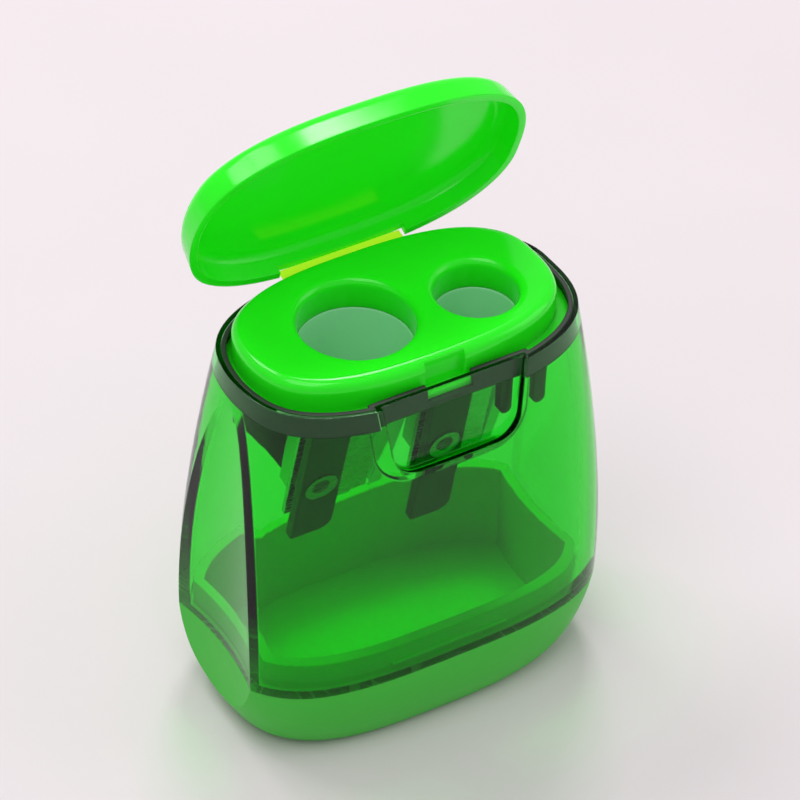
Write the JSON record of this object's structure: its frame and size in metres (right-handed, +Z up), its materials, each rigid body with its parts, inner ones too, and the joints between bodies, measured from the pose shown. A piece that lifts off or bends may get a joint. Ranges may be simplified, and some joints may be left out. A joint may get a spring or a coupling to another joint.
{
  "type": "pencil sharpener",
  "caption": "Oval two-hole pencil sharpener with a translucent shavings box, pull-off base and flip lid over a large and a small pencil hole.",
  "frame": {"origin": "middle of the flat underside of the base cap", "axes": "+X along the long side towards the small hole, +Y towards the lid's hinge, +Z up"},
  "size_m": [0.0402, 0.0266, 0.0637],
  "materials": {
    "base_green": "satin moulded green plastic",
    "shell_green": "clear tinted green plastic",
    "carrier_dark": "dark grey moulded plastic",
    "bright_green": "glossy bright green plastic",
    "web_green": "thin flexed green plastic",
    "guide_grey": "satin pale grey-green plastic",
    "blade_steel": "ground steel",
    "screw_steel": "dark plated steel"
  },
  "bodies": {
    "base": {"base_cap": "base_green"},
    "box": {"body_shell": "shell_green", "carrier": "carrier_dark", "head": "bright_green", "large_guide": "guide_grey", "small_guide": "guide_grey", "large_blade": "blade_steel", "small_blade": "blade_steel", "blade_screws": "screw_steel", "hinge_web": "web_green"},
    "flip_lid": {"lid": "bright_green"}
  },
  "joints": [
    {"name": "base_pull", "type": "slide", "parent": "base", "child": "box", "axis": [0, 0, 1], "range_m": [0, 0.012]},
    {"name": "lid_hinge", "type": "hinge", "parent": "box", "child": "flip_lid", "pos_m": [0, 0.0108, 0.0431], "axis": [-1, 0, 0], "range_deg": [-74, 33]}
  ]
}
